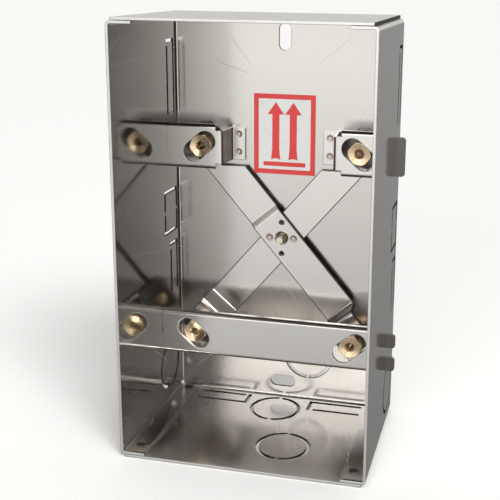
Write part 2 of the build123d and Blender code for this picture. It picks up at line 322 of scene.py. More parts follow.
def band(tree, value, low, high, soft):
    """Soft-edged band: 1 between two limits and 0 outside them."""
    rise = add(tree, "ShaderNodeMapRange", {
        "Value": value, "From Min": low - soft, "From Max": low + soft},
        interpolation_type="SMOOTHSTEP")
    fall = add(tree, "ShaderNodeMapRange", {
        "Value": value, "From Min": high - soft, "From Max": high + soft, "To Min": 1.0, "To Max": 0.0},
        interpolation_type="SMOOTHSTEP")
    return add(tree, "ShaderNodeMath", {0: rise, 1: fall}, operation="MULTIPLY")


def reach_along(tree, vector, direction):
    """How far a vector reaches along a direction, either way."""
    along = add(tree, "ShaderNodeVectorMath", {0: vector, 1: direction}, operation="DOT_PRODUCT")
    return add(tree, "ShaderNodeMath", {0: along}, operation="ABSOLUTE")


def positive(tree, vector):
    """1 along each axis on which a vector is positive, and 0 on the others."""
    signs = add(tree, "ShaderNodeVectorMath", {0: vector}, operation="SIGN")
    return add(tree, "ShaderNodeVectorMath", {0: signs, 1: (0, 0, 0)}, operation="MAXIMUM")


def weld_distance(tree, place, centres, radius):
    """Distance to the nearest weld centre, in weld diameters."""
    nearest = None
    for centre in centres:
        distance = add(tree, "ShaderNodeVectorMath", {0: place, 1: centre}, operation="DISTANCE")
        if nearest is not None:
            distance = add(tree, "ShaderNodeMath", {0: nearest, 1: distance}, operation="MINIMUM")
        nearest = distance
    return add(tree, "ShaderNodeMath", {0: nearest, 1: 2 * radius}, operation="DIVIDE")


def from_standoff(tree, coords):
    """Folded place out and up from the axis of the nearest standoff, with the place about the pivot."""
    parts = add(tree, "ShaderNodeSeparateXYZ", {"Vector": coords})
    places = []
    for value, centre, reach in ((parts.outputs["X"], PIVOT.x, STANDOFF.x - PIVOT.x),
                                 (parts.outputs["Z"], PIVOT.z, STANDOFF.z - PIVOT.z)):
        centred = add(tree, "ShaderNodeMath", {0: value, 1: centre}, operation="SUBTRACT")
        folded = add(tree, "ShaderNodeMath", {0: centred}, operation="ABSOLUTE")
        beyond = add(tree, "ShaderNodeMath", {0: folded, 1: reach}, operation="SUBTRACT")
        places.append((beyond, centred))
    return places


def slot_distance(tree, coords):
    """Distance out from the outline of the slot round the nearest standoff, negative inside it."""
    (out, _), (up, _) = from_standoff(tree, coords)
    place = add(tree, "ShaderNodeCombineXYZ", {"X": out, "Z": up})
    axis = Vector((-RISING.z, 0, RISING.x))
    along = add(tree, "ShaderNodeVectorMath", {0: place, 1: axis}, operation="DOT_PRODUCT")
    along = add(tree, "ShaderNodeMath", {0: along, 1: SLOT_HALF}, operation="MINIMUM")
    along = add(tree, "ShaderNodeMath", {0: along, 1: -SLOT_HALF}, operation="MAXIMUM")
    nearest = add(tree, "ShaderNodeVectorMath", {0: axis, "Scale": along}, operation="SCALE")
    away = add(tree, "ShaderNodeVectorMath", {0: place, 1: nearest}, operation="DISTANCE")
    return add(tree, "ShaderNodeMath", {0: away, 1: SLOT_RADIUS}, operation="SUBTRACT")


def shell_tones(finish):
    """Tones of the shell, each a mask, a colour and a roughness.

    The side walls get painted shade inside, the back wall is rubbed matt where the cross is reached for,
    shear cut faces in the slits are dark with painted shade, and the open front's cut edge gets a painted
    highlight.
    """
    half = (SHELL_HIGH - SHELL_LOW) / 2
    inner = half - Vector((1, 1, 1)) * SHEET_DEPTH

    def tones(tree, coords, normal):
        parts = add(tree, "ShaderNodeSeparateXYZ", {"Vector": coords})
        across, depth, height = (parts.outputs[axis] for axis in "XYZ")

        # The box is folded about its middle, so that one corner stands for all eight. A face cut by the
        # shear lies in one wall's sheet and looks along that wall, and is dark with painted shade.
        centred = add(tree, "ShaderNodeVectorMath", {0: coords, 1: (0, 0, half.z)}, operation="SUBTRACT")
        folded = add(tree, "ShaderNodeVectorMath", {0: centred}, operation="ABSOLUTE")
        beyond = add(tree, "ShaderNodeVectorMath", {0: folded, 1: inner}, operation="SUBTRACT")
        walls = positive(tree, beyond)
        turned = add(tree, "ShaderNodeVectorMath", {0: normal}, operation="ABSOLUTE")
        away = add(tree, "ShaderNodeVectorMath", {0: (LOOKING, LOOKING, LOOKING), 1: turned},
                   operation="SUBTRACT")
        along_wall = positive(tree, away)
        hit = add(tree, "ShaderNodeVectorMath", {0: walls, 1: along_wall}, operation="DOT_PRODUCT")
        count = add(tree, "ShaderNodeVectorMath", {0: walls, 1: (1, 1, 1)}, operation="DOT_PRODUCT")
        lone = add(tree, "ShaderNodeMath", {0: count, 1: 1.5}, operation="LESS_THAN")
        behind = add(tree, "ShaderNodeMath", {0: depth, 1: SHELL_LOW.y + BEHIND_RIM},
                     operation="GREATER_THAN")
        # Sheared faces in the slits: duller steel with painted shade.
        sheared_with_shade = add(tree, "ShaderNodeMath", {0: hit, 1: lone}, operation="MULTIPLY")
        sheared_with_shade = add(tree, "ShaderNodeMath", {0: sheared_with_shade, 1: behind}, operation="MULTIPLY")
        # Painted highlight on the open front's cut edge.
        painted_light = add(tree, "ShaderNodeMath", {0: depth, 1: SHELL_LOW.y + RIM_DEPTH}, operation="LESS_THAN")

        # The back wall, on both faces, is rubbed above the brackets, and worn above the bar's right end.
        on_back = add(tree, "ShaderNodeMath", {0: reach_along(tree, normal, (0, 1, 0)), 1: LOOKING},
                      operation="GREATER_THAN")
        either_side = add(tree, "ShaderNodeMath", {0: across}, operation="ABSOLUTE")
        lower = 2 * PIVOT.z - STANDOFF.z
        patches = []
        for place, base, (low, high, start, full) in ((either_side, STANDOFF.z, RUBBED_PATCH),
                                                      (across, lower, WORN_PATCH)):
            above = band(tree, height, base + low, base + high, PATCH_SOFTNESS)
            beside = add(tree, "ShaderNodeMapRange", {"Value": place, "From Min": start, "From Max": full})
            patch = add(tree, "ShaderNodeMath", {0: above, 1: beside}, operation="MULTIPLY")
            patch = add(tree, "ShaderNodeMath", {0: patch, 1: on_back}, operation="MULTIPLY")
            patches.append((patch, finish.shell, 0.5))

        # A side wall's inside looks back towards the middle.
        sideways = add(tree, "ShaderNodeSeparateXYZ", {"Vector": normal}).outputs["X"]
        left_or_right = add(tree, "ShaderNodeMath", {0: across}, operation="SIGN")
        outward = add(tree, "ShaderNodeMath", {0: sideways, 1: left_or_right}, operation="MULTIPLY")
        # Painted shade on the inside of the side walls.
        painted_shade = add(tree, "ShaderNodeMath", {0: outward, 1: -LOOKING}, operation="LESS_THAN")
        return [
            (painted_shade, finish.painted_shade, 0.085),
            *patches,
            (sheared_with_shade, finish.sheared_with_shade, 0.55),
            (painted_light, finish.painted_light, 0.4),
        ]

    return tones


def bracket_tones(finish):
    """Tones of the brackets, each a mask, a colour and a roughness.

    The inside is a smoother mirror with painted light, the bends and the legs get painted shade,
    the slots' rims get painted highlights, and the tabs outside the walls get painted shade.
    """

    def tones(tree, coords, normal):
        across = add(tree, "ShaderNodeSeparateXYZ", {"Vector": coords}).outputs["X"]
        reach = add(tree, "ShaderNodeMath", {0: across}, operation="ABSOLUTE")
        depth = add(tree, "ShaderNodeSeparateXYZ", {"Vector": normal}).outputs["Y"]
        sideways = reach_along(tree, normal, (1, 0, 0))
        upright = reach_along(tree, normal, (0, 0, 1))

        # Painted light on the faces that look towards the back wall, paler and glossier than the sheet.
        inside = add(tree, "ShaderNodeMath", {0: depth, 1: LOOKING}, operation="GREATER_THAN")
        # Painted shade on the outside of the bends.
        curled = add(tree, "ShaderNodeMath", {0: upright, 1: LEANING}, operation="GREATER_THAN")
        outer = add(tree, "ShaderNodeMath", {0: depth, 1: BEND_SHARE}, operation="LESS_THAN")
        bend = add(tree, "ShaderNodeMath", {0: curled, 1: outer}, operation="MULTIPLY")
        # Painted shade on the brackets' legs.
        leaning = add(tree, "ShaderNodeMath", {0: sideways, 1: LEANING}, operation="GREATER_THAN")
        near = add(tree, "ShaderNodeMath", {0: reach, 1: LEG_REACH}, operation="LESS_THAN")
        leg = add(tree, "ShaderNodeMath", {0: leaning, 1: near}, operation="MULTIPLY")
        # Painted highlight on the slots' rims.
        painted_light = add(tree, "ShaderNodeMath", {0: slot_distance(tree, coords), 1: SLOT_RIM},
                  operation="LESS_THAN")
        # Painted shade on the tabs outside the walls.
        outside = add(tree, "ShaderNodeMath", {0: reach, 1: SHELL_HIGH.x}, operation="GREATER_THAN")
        return [
            (inside, finish.painted_light, 0.12),
            (bend, finish.painted_dark_shade, 0.3),
            (leg, finish.painted_shade, 0.35),
            (painted_light, finish.painted_light, 0.45),
            (outside, finish.tab_painted_shade, 0.4),
        ]

    return tones


def arm_tones(finish, direction):
    """Tones of an arm, each a mask, a colour and a roughness.

    Painted shade darkens the steel round the rivets, the risers and the rolled-over edges,
    and the sides cut by the shear are dark with painted shade over their duller steel.
    """
    across = Vector((direction[2], 0, -direction[0]))

    def tones(tree, coords, normal):
        along = reach_along(tree, normal, direction)
        level = reach_along(tree, normal, (0, 1, 0))
        centred = add(tree, "ShaderNodeVectorMath", {0: coords, 1: PIVOT}, operation="SUBTRACT")
        aside = reach_along(tree, centred, across)

        # Painted shade round each rivet, where the arm lies in the brackets' shadow.
        painted_shade = add(tree, "ShaderNodeMath", {0: slot_distance(tree, coords), 1: SLOT_SHADE},
                    operation="LESS_THAN")
        # Painted shade on the risers.
        riser = add(tree, "ShaderNodeMath", {0: along, 1: RISER_SHARE}, operation="GREATER_THAN")
        # Painted shade along the rolled edges.
        edge = add(tree, "ShaderNodeMath", {0: aside, 1: ARM_HALF - ROLLED_EDGE}, operation="GREATER_THAN")
        # Sheared sides of the arms: duller steel with painted shade.
        most = add(tree, "ShaderNodeMath", {0: along, 1: level}, operation="MAXIMUM")
        sheared_with_shade = add(tree, "ShaderNodeMath", {0: most, 1: SIDE_SHARE}, operation="LESS_THAN")
        return [
            (painted_shade, finish.painted_dark_shade, 0.3),
            (riser, finish.painted_dark_shade, 0.35),
            (edge, finish.painted_dark_shade, 0.35),
            (sheared_with_shade, finish.sheared_with_shade, 0.5),
        ]

    return tones


def scratch_lines(tree, coords):
    """Straight handling scratches in three directions, each broken into stretches of a few centimetres."""
    longest = None
    for across, spacing in SCRATCH_ROWS:
        steps = add(tree, "ShaderNodeVectorMath", {0: coords, 1: Vector(across) / (spacing * MM)},
                    operation="DOT_PRODUCT")
        row = add(tree, "ShaderNodeMath", {0: steps}, operation="FLOOR")
        within = add(tree, "ShaderNodeMath", {0: steps, 1: row}, operation="SUBTRACT")
        chance = add(tree, "ShaderNodeTexWhiteNoise", {"W": row}, noise_dimensions="1D")
        off = add(tree, "ShaderNodeMath", {0: within, 1: chance}, operation="SUBTRACT")
        near = add(tree, "ShaderNodeMath", {0: off}, operation="ABSOLUTE")
        line = add(tree, "ShaderNodeMapRange", {
            "Value": near, "From Min": SCRATCH_CORE / spacing, "From Max": SCRATCH_EDGE / spacing,
            "To Min": 1.0, "To Max": 0.0})
        stretch = add(tree, "ShaderNodeTexNoise", {
            "Vector": coords, "W": row, "Scale": 1 / SCRATCH_STRETCH, "Detail": 1.0},
            noise_dimensions="4D")
        kept = add(tree, "ShaderNodeMapRange", {
            "Value": stretch, "From Min": SCRATCH_START, "From Max": SCRATCH_FULL})
        level = add(tree, "ShaderNodeMath", {0: line, 1: kept}, operation="MULTIPLY")
        if longest is not None:
            level = add(tree, "ShaderNodeMath", {0: longest, 1: level}, operation="MAXIMUM")
        longest = level
    return longest


def rolled_steel(name, colour, dull, edge, grain_turn, scratched, welds, tones):
    """Bright rolled stainless sheet: a soft mirror with faint rolling lines, hand smudges and weld marks.

    dull holds the roughness of the faces that look along each axis, and edge the radius of its edges.
    """
    material, tree = new_material(name)
    spots = add(tree, "ShaderNodeTexCoord")
    coords = spots.outputs["Object"]
    normal = spots.outputs["Normal"]

    # Rolling lines of 0.05 mm wouldn't show, so they are drawn 0.4 mm apart and 30 mm long.
    line_map = add(tree, "ShaderNodeMapping", {
        "Vector": coords, "Rotation": (0, grain_turn, 0), "Scale": (0.4 * MM, 0.4 * MM, 30 * MM)},
        vector_type="TEXTURE")
    lines = add(tree, "ShaderNodeTexNoise", {"Vector": line_map, "Scale": 1.0, "Detail": 3.0})
    # Hand smudges about 30 mm across dull the mirror a little.
    smudges = add(tree, "ShaderNodeTexNoise", {
        "Vector": coords, "Scale": 1 / (30 * MM), "Detail": 2.0, "Roughness": 0.5})
    # Each wall keeps its own gloss.
    squared = add(tree, "ShaderNodeVectorMath", {0: normal, 1: normal}, operation="MULTIPLY")
    level = add(tree, "ShaderNodeVectorMath", {0: squared, 1: dull}, operation="DOT_PRODUCT")
    spread = add(tree, "ShaderNodeMapRange", {
        "Value": smudges, "From Min": 0.35, "From Max": 0.7, "To Min": 0.95, "To Max": 1.08})
    grain = add(tree, "ShaderNodeMapRange", {
        "Value": lines, "From Min": NOISE_LOW, "From Max": NOISE_HIGH, "To Min": -0.012, "To Max": 0.012})
    roughness = add(tree, "ShaderNodeMath", {0: level, 1: spread, 2: grain}, operation="MULTIPLY_ADD")
    height = lines
    if scratched:
        scratches = scratch_lines(tree, coords)
        roughness = add(tree, "ShaderNodeMath", {0: scratches, 1: SCRATCH_ROUGHNESS, 2: roughness},
                        operation="MULTIPLY_ADD")
        height = add(tree, "ShaderNodeMath", {0: scratches, 1: SCRATCH_HEIGHT, 2: height},
                     operation="MULTIPLY_ADD")

    # Spot welds lie alike on the left and right, so the place is folded about the middle.
    parts = add(tree, "ShaderNodeSeparateXYZ", {"Vector": coords})
    side = add(tree, "ShaderNodeMath", {0: parts.outputs["X"]}, operation="ABSOLUTE")
    up = parts.outputs["Z"]
    if welds["fold_height"] is not None:
        from_middle = add(tree, "ShaderNodeMath", {0: up, 1: welds["fold_height"]}, operation="SUBTRACT")
        up = add(tree, "ShaderNodeMath", {0: from_middle}, operation="ABSOLUTE")
    place = add(tree, "ShaderNodeCombineXYZ", {"X": side, "Y": parts.outputs["Y"], "Z": up})
    distance = weld_distance(tree, place, welds["centres"], welds["radius"])
    heat = add(tree, "ShaderNodeValToRGB", {"Fac": distance}, stops=welds["heat"])
    dent = add(tree, "ShaderNodeValToRGB", {"Fac": distance}, stops=WELD_DENT)

    base = add(tree, "ShaderNodeMix", {"Factor": heat, "A": rgba(colour), "B": rgba(welds["tint"])},
               data_type="RGBA")
    # Each tone lays its colour where its mask is; most of them are painted shade or painted highlights.
    for mask, shade, dullness in tones(tree, coords, normal):
        base = add(tree, "ShaderNodeMix", {"Factor": mask, "A": base, "B": rgba(shade)}, data_type="RGBA")
        roughness = add(tree, "ShaderNodeMix", {"Factor": mask, "A": roughness, "B": dullness},
                        data_type="FLOAT")

    # Punched and sheared edges are rolled over by a few tenths of a millimetre.
    rolled_edge = add(tree, "ShaderNodeBevel", {"Radius": edge}, samples=6)
    pressed = add(tree, "ShaderNodeBump", {
        "Strength": 0.5, "Distance": 0.25 * MM, "Height": dent, "Normal": rolled_edge})
    bump = add(tree, "ShaderNodeBump", {
        "Strength": 0.02, "Distance": 0.03 * MM, "Height": height, "Normal": pressed})
    shader = add(tree, "ShaderNodeBsdfPrincipled", {
        "Base Color": base, "Metallic": 1.0, "Roughness": roughness, "Normal": bump})
    add(tree, "ShaderNodeOutputMaterial", {"Surface": shader})
    return material


class FinishSteel(bpy.types.Operator):
    """Gives the shell, brackets, bar and arms their rolled steel finish"""

    bl_idname = "mounting_box.finish_steel"
    bl_label = "Steel finish"

    def execute(self, context):
        finish = context.scene.mounting_box_finish
        wall_y = LABEL_HIGH.y
        half_height = SHELL_HIGH.z / 2
        flange_x, flange_z = 48.5 * MM, half_height - 2.6 * MM
        shell_welds = {
            "centres": [(flange_x, SHELL_LOW.y + 8.4 * MM, flange_z),
                        (flange_x, SHELL_HIGH.y - 6.5 * MM, flange_z)],
            "radius": 2.1 * MM, "fold_height": half_height, "tint": finish.burn, "heat": BLOT_TINT}
        foot_x, foot_y = 22.3 * MM, wall_y - 1.2 * MM
        foot_welds = {
            "centres": [(foot_x, foot_y, STANDOFF.z + 4.7 * MM), (foot_x, foot_y, STANDOFF.z - 3.9 * MM)],
            "radius": 1.5 * MM, "fold_height": None, "tint": finish.weld, "heat": RING_TINT}
        arm_welds = {
            "centres": [(5.95 * MM, wall_y - 4.5 * MM, PIVOT.z)],
            "radius": 1.6 * MM, "fold_height": None, "tint": finish.weld, "heat": RING_TINT}

        # The shell's sides are the glossiest, and its back and bottom blur what they mirror.
        shell = rolled_steel(
            "rolled steel shell", finish.shell, dull=(0.09, 0.20, 0.19), edge=0.45 * MM, grain_turn=0,
            scratched=True, welds=shell_welds, tones=shell_tones(finish))
        dress(shell, "box_shell")
        # The brackets' sheet is paler and duller, so it shows soft shades and no clear images.
        bracket = rolled_steel(
            "rolled steel bracket", finish.bracket, dull=(0.22, 0.22, 0.22), edge=0.45 * MM, grain_turn=0,
            scratched=False, welds=foot_welds, tones=bracket_tones(finish))
        dress(bracket, *BRACKET_NODES)
        # The arms' sheet was rolled along their length, so its faint lines follow each arm.
        slant = math.atan2(RISING.x, RISING.z)
        for name, node, slope, turn in (("rolled steel front arm", "cross_arm_front", -RISING.z, -slant),
                                        ("rolled steel rear arm", "cross_arm_rear", RISING.z, slant)):
            arm = rolled_steel(
                name, finish.arm, dull=(0.2, 0.2, 0.2), edge=0.4 * MM, grain_turn=turn,
                scratched=False, welds=arm_welds, tones=arm_tones(finish, (RISING.x, 0, slope)))
            dress(arm, node)
        return {"FINISHED"}


def turned_metal(name, colour, roughness, ring_spacing):
    """Turned metal: the tool leaves fine rings round each axis, which draw the light into a bow tie."""
    material, tree = new_material(name)
    coords = add(tree, "ShaderNodeTexCoord").outputs["Object"]
    # The sign of the place about the pivot unfolds the place from the axis.
    unfolded = []
    for beyond, centred in from_standoff(tree, coords):
        sign = add(tree, "ShaderNodeMath", {0: centred}, operation="SIGN")
        unfolded.append(add(tree, "ShaderNodeMath", {0: beyond, 1: sign}, operation="MULTIPLY"))
    right, upward = unfolded
    # Light spreads across the rings, and along the bar on the sides of the hexagon.
    outward = add(tree, "ShaderNodeCombineXYZ", {"X": right, "Y": 0.5 * MM, "Z": upward})
    tangent = add(tree, "ShaderNodeVectorMath", {0: outward}, operation="NORMALIZE")
    reach = add(tree, "ShaderNodeVectorMath", {0: outward}, operation="LENGTH")
    rings = add(tree, "ShaderNodeMath", {0: reach, 1: 2 * math.pi / ring_spacing}, operation="MULTIPLY")
    wave = add(tree, "ShaderNodeMath", {0: rings}, operation="SINE")
    # Stains of about 3 mm change the gloss, and the rings' valleys get a little painted shade.
    stain = add(tree, "ShaderNodeTexNoise", {"Vector": coords, "Scale": 1 / (3 * MM), "Detail": 3.0})
    rough = add(tree, "ShaderNodeMapRange", {
        "Value": stain, "From Min": NOISE_LOW, "From Max": NOISE_HIGH,
        "To Min": roughness * 0.8, "To Max": roughness * 1.3})
    tone = add(tree, "ShaderNodeMapRange", {"Value": wave, "From Min": -1.0, "To Min": 0.86, "To Max": 1.0})
    valley_shade = [part * 0.55 for part in colour]
    base = add(tree, "ShaderNodeMix", {"Factor": tone, "A": rgba(valley_shade), "B": rgba(colour)},
               data_type="RGBA")
    # The end is faced slightly hollow, so one side of it gathers the light and the other goes dark.
    rounded = add(tree, "ShaderNodeBevel", {"Radius": 0.4 * MM}, samples=6)
    hollow = add(tree, "ShaderNodeBump", {
        "Strength": 1.0, "Distance": 0.2, "Height": reach, "Normal": rounded})
    bump = add(tree, "ShaderNodeBump", {
        "Strength": 0.08, "Distance": 0.02 * MM, "Height": wave, "Normal": hollow})
    shader = add(tree, "ShaderNodeBsdfPrincipled", {
        "Base Color": base, "Metallic": 1.0, "Roughness": rough, "Anisotropic": 0.88,
        "Tangent": tangent, "Normal": bump})
    add(tree, "ShaderNodeOutputMaterial", {"Surface": shader})
    return material


def stud_metal(name, colour, shoulder, radius):
    """Pale brass turned on a lathe: the end glints in small patches, and the shoulder has painted shade."""
    material, tree = new_material(name)
    coords = add(tree, "ShaderNodeTexCoord").outputs["Object"]
    centred = add(tree, "ShaderNodeMapping", {"Vector": coords, "Location": (0, 0, -PIVOT.z)})
    stain = add(tree, "ShaderNodeTexNoise", {"Vector": centred, "Scale": 1 / (1.2 * MM), "Detail": 2.0})
    rough = add(tree, "ShaderNodeMapRange", {
        "Value": stain, "From Min": NOISE_LOW, "From Max": NOISE_HIGH, "To Min": 0.18, "To Max": 0.3})
    flat = add(tree, "ShaderNodeVectorMath", {0: centred, 1: (1, 0, 1)}, operation="MULTIPLY")
    away = add(tree, "ShaderNodeVectorMath", {0: flat}, operation="LENGTH")
    # Painted shade on the shoulder, beyond the end's radius.
    thick = add(tree, "ShaderNodeMath", {0: away, 1: radius}, operation="GREATER_THAN")
    base = add(tree, "ShaderNodeMix", {"Factor": thick, "A": rgba(colour), "B": rgba(shoulder)},
               data_type="RGBA")
    shader = add(tree, "ShaderNodeBsdfPrincipled", {"Base Color": base, "Metallic": 1.0, "Roughness": rough})
    add(tree, "ShaderNodeOutputMaterial", {"Surface": shader})
    return material


class FinishBrass(bpy.types.Operator):
    """Gives the standoffs and the pivot stud their turned finish"""

    bl_idname = "mounting_box.finish_brass"
    bl_label = "Brass finish"

    def execute(self, context):
        finish = context.scene.mounting_box_finish
        # A lathe's rings of 0.1 mm wouldn't show, so they are drawn 0.45 mm apart.
        brass = turned_metal("turned brass", finish.brass, roughness=0.22, ring_spacing=0.45 * MM)
        dress(brass, *STANDOFF_NODES)
        pale_brass = stud_metal("turned pale brass", finish.stud, finish.shoulder, radius=2.05 * MM)
        dress(pale_brass, "pivot_stud")
        return {"FINISHED"}


def coated_film(name, colour, roughness, mottle):
    """Printed film: smooth plastic with a faint mottle of about 5 mm from the adhesive under it."""
    material, tree = new_material(name)
    coords = add(tree, "ShaderNodeTexCoord").outputs["Object"]
    cloud = add(tree, "ShaderNodeTexNoise", {"Vector": coords, "Scale": 1 / (5 * MM), "Detail": 3.0})
    rough = add(tree, "ShaderNodeMapRange", {
        "Value": cloud, "From Min": NOISE_LOW, "From Max": NOISE_HIGH,
        "To Min": roughness * 0.85, "To Max": roughness * 1.15})
    tone = add(tree, "ShaderNodeMapRange", {"Value": cloud, "From Min": NOISE_LOW, "From Max": NOISE_HIGH})
    darker = [part * mottle for part in colour]
    base = add(tree, "ShaderNodeMix", {"Factor": tone, "A": rgba(darker), "B": rgba(colour)},
               data_type="RGBA")
    bump = add(tree, "ShaderNodeBump", {"Strength": 0.05, "Distance": 0.05 * MM, "Height": cloud})
    shader = add(tree, "ShaderNodeBsdfPrincipled", {
        "Base Color": base, "Roughness": rough, "IOR": 1.49, "Normal": bump})
    add(tree, "ShaderNodeOutputMaterial", {"Surface": shader})
    return material


def start_sheet(name, width, height, x, z):
    """Starts a flat piece on the label's face, which looks towards the open front."""
    bpy.ops.object.select_all(action="DESELECT")
    bpy.ops.mesh.primitive_plane_add(size=1, location=(x, LABEL_LOW.y, z), rotation=(math.pi / 2, 0, 0))
    piece = bpy.context.object
    piece.name = name
    piece.data.name = name
    piece.scale = (width, height, 1)
    bpy.ops.object.transform_apply(location=True, rotation=True, scale=True)
    return piece


def pick(piece, test):
    """Selects, in edit mode, the points of a piece that pass a test on their place."""
    bpy.ops.mesh.select_mode(type="VERT")
    bpy.ops.mesh.select_all(action="DESELECT")
    mesh = bmesh.from_edit_mesh(piece.data)
    for point in mesh.verts:
        point.select = bool(test(point.co))
    mesh.select_flush(True)
    bmesh.update_edit_mesh(piece.data)


def finish_print(piece, ink_depth, material):
    """Gives a flat print the ink's thickness, its colour and its place on the box."""
    bpy.ops.object.mode_set(mode="OBJECT")
    bpy.ops.object.modifier_add(type="SOLIDIFY")
    solidify = piece.modifiers[-1]
    solidify.thickness = ink_depth
    solidify.offset = 1.0
    bpy.ops.object.modifier_apply(modifier=solidify.name)
    piece.data.materials.append(material)
    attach(piece, "box")


def sign_frame(sign, ink):
    """Frame round the label, inset from its outline."""
    size = LABEL_HIGH - LABEL_LOW
    piece = start_sheet("sign_frame", size.x, size.z, LABEL_CENTRE.x, LABEL_CENTRE.z)
    bpy.ops.object.mode_set(mode="EDIT")
    bpy.ops.mesh.select_all(action="SELECT")
    bpy.ops.mesh.inset(thickness=sign.frame_width, depth=0)
    bpy.ops.mesh.delete(type="FACE")
    finish_print(piece, sign.ink_depth, ink)


def sign_arrow(sign, ink, name, x):
    """Arrow with a flared shaft, a hollow foot and a plain head."""
    shaft_top = LABEL_CENTRE.z + sign.arrow_top - sign.head_height
    shaft_low = shaft_top - sign.shaft_height
    piece = start_sheet(name, sign.shaft_width, sign.shaft_height, x, (shaft_top + shaft_low) / 2)
    small = 0.01 * MM
    # The foot's inner points rise first, and then its middle point rises further.
    inner_half = sign.shaft_width * 0.4
    foot_rise, middle_rise = 0.5 * MM, 0.25 * MM
    risen = foot_rise + 0.1 * MM
    bpy.ops.object.mode_set(mode="EDIT")
    bpy.ops.mesh.select_all(action="SELECT")
    bpy.ops.mesh.subdivide(number_cuts=3)
    pick(piece, lambda co: co.z < shaft_low + small)
    bpy.ops.transform.resize(value=(sign.shaft_flare, 1, 1))
    pick(piece, lambda co: co.z < shaft_low + small and abs(co.x - x) < inner_half)
    bpy.ops.transform.translate(value=(0, 0, foot_rise))
    pick(piece, lambda co: co.z < shaft_low + risen and abs(co.x - x) < small)
    bpy.ops.transform.translate(value=(0, 0, middle_rise))
    pick(piece, lambda co: co.z > shaft_top - small)
    bpy.ops.mesh.extrude_region_move()
    bpy.ops.transform.resize(value=(sign.head_width / sign.shaft_width, 1, 1))
    bpy.ops.mesh.extrude_region_move(TRANSFORM_OT_translate={"value": (0, 0, sign.head_height)})
    bpy.ops.mesh.merge(type="CENTER")
    bpy.ops.mesh.select_all(action="SELECT")
    bpy.ops.mesh.remove_doubles(threshold=0.001 * MM)
    finish_print(piece, sign.ink_depth, ink)
    return piece


def copy_arrow(arrow, name, spacing):
    """Copies an arrow, with a mesh of its own, to its place beside the first."""
    bpy.ops.object.select_all(action="DESELECT")
    arrow.select_set(True)
    bpy.context.view_layer.objects.active = arrow
    bpy.ops.object.duplicate(linked=False)
    piece = bpy.context.object
    piece.name = name
    piece.data.name = name
    bpy.ops.object.mode_set(mode="EDIT")
    bpy.ops.mesh.select_all(action="SELECT")
    bpy.ops.transform.translate(value=(spacing, 0, 0))
    bpy.ops.object.mode_set(mode="OBJECT")
    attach(piece, "box")


def sign_bar(sign, ink):
    """Ground line under the arrows."""
    piece = start_sheet(
        "sign_bar", sign.bar_width, sign.bar_height, LABEL_CENTRE.x, LABEL_CENTRE.z - sign.bar_drop)
    corner = 0.25 * MM
    bpy.ops.object.mode_set(mode="EDIT")
    bpy.ops.mesh.select_all(action="SELECT")
    bpy.ops.mesh.bevel(offset=corner, segments=3, affect="VERTICES")
    finish_print(piece, sign.ink_depth, ink)


class MakeLabel(bpy.types.Operator):
    """Finishes the film label and prints the sign on it"""

    bl_idname = "mounting_box.make_label"
    bl_label = "Label"

    def execute(self, context):
        finish = context.scene.mounting_box_finish
        sign = context.scene.mounting_box_sign
        film = coated_film("coated plastic film", finish.film, roughness=0.3, mottle=0.96)
        dress(film, "orientation_label")
        # The ink is a little duller than the film and more mottled.
        ink = coated_film("printed red ink", finish.ink, roughness=0.34, mottle=0.93)
        sign_frame(sign, ink)
        arrow = sign_arrow(sign, ink, "sign_arrow_left", LABEL_CENTRE.x - sign.arrow_spacing / 2)
        copy_arrow(arrow, "sign_arrow_right", sign.arrow_spacing)
        sign_bar(sign, ink)
        return {"FINISHED"}


def room_patch(tree, turn, rise, limits):
    """Soft-edged patch of the room, from its limits and softness across and upright."""
    across, upright = limits
    wide = band(tree, turn, *(limit * DEGREE for limit in across))
    high = band(tree, rise, *(limit * DEGREE for limit in upright))
    return add(tree, "ShaderNodeMath", {0: wide, 1: high}, operation="MULTIPLY")


